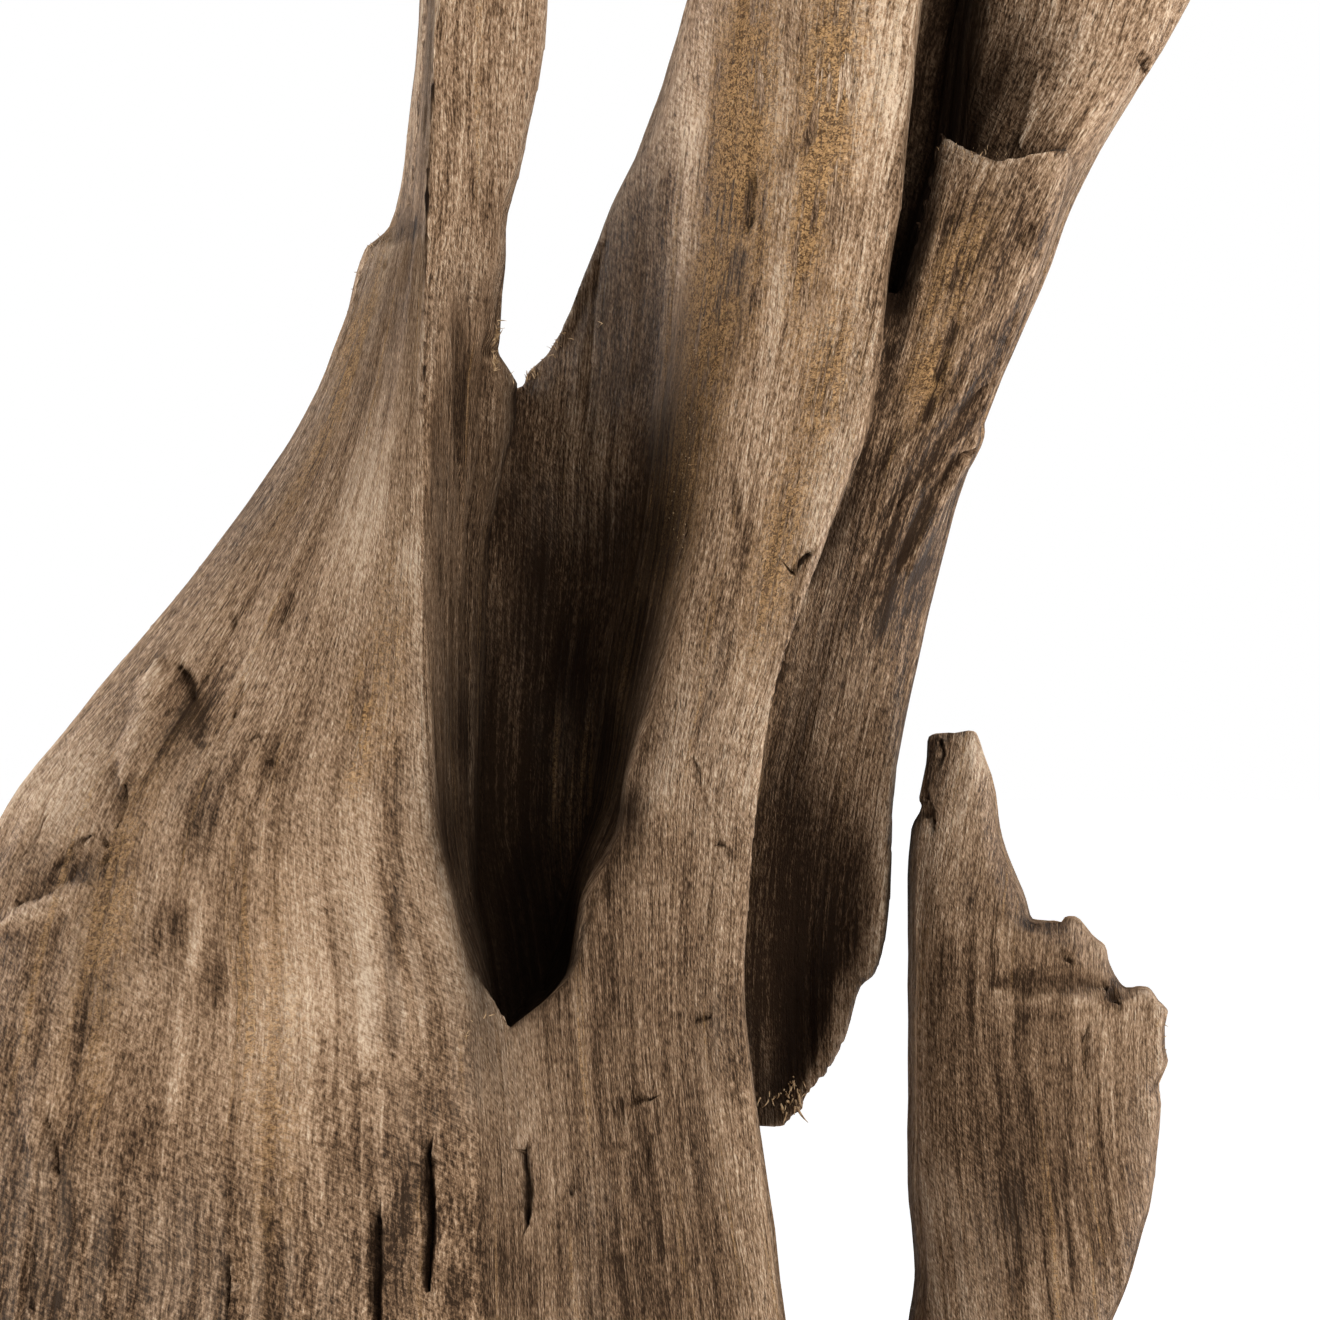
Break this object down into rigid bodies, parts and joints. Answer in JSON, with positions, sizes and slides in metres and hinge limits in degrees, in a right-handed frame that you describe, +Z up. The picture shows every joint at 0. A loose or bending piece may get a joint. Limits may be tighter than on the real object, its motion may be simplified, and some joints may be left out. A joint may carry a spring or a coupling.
{
  "type": "piece of driftwood",
  "caption": "Weathered driftwood root standing on a sawn foot: hollowed trunk, broad left wing with a spire, split right column and a free broken root.",
  "frame": {"origin": "on the sawn foot, in the plane the wood stands on, under the hollow", "axes": "+Z up along the grain from the sawn foot, +X to the right as the hollow is faced, +Y from the hollow towards the back"},
  "size_m": [0.641, 0.3709, 0.9445],
  "materials": {
    "wood": "weathered, brushed and unfinished"
  },
  "bodies": {
    "root": {"driftwood": "wood"}
  },
  "joints": []
}
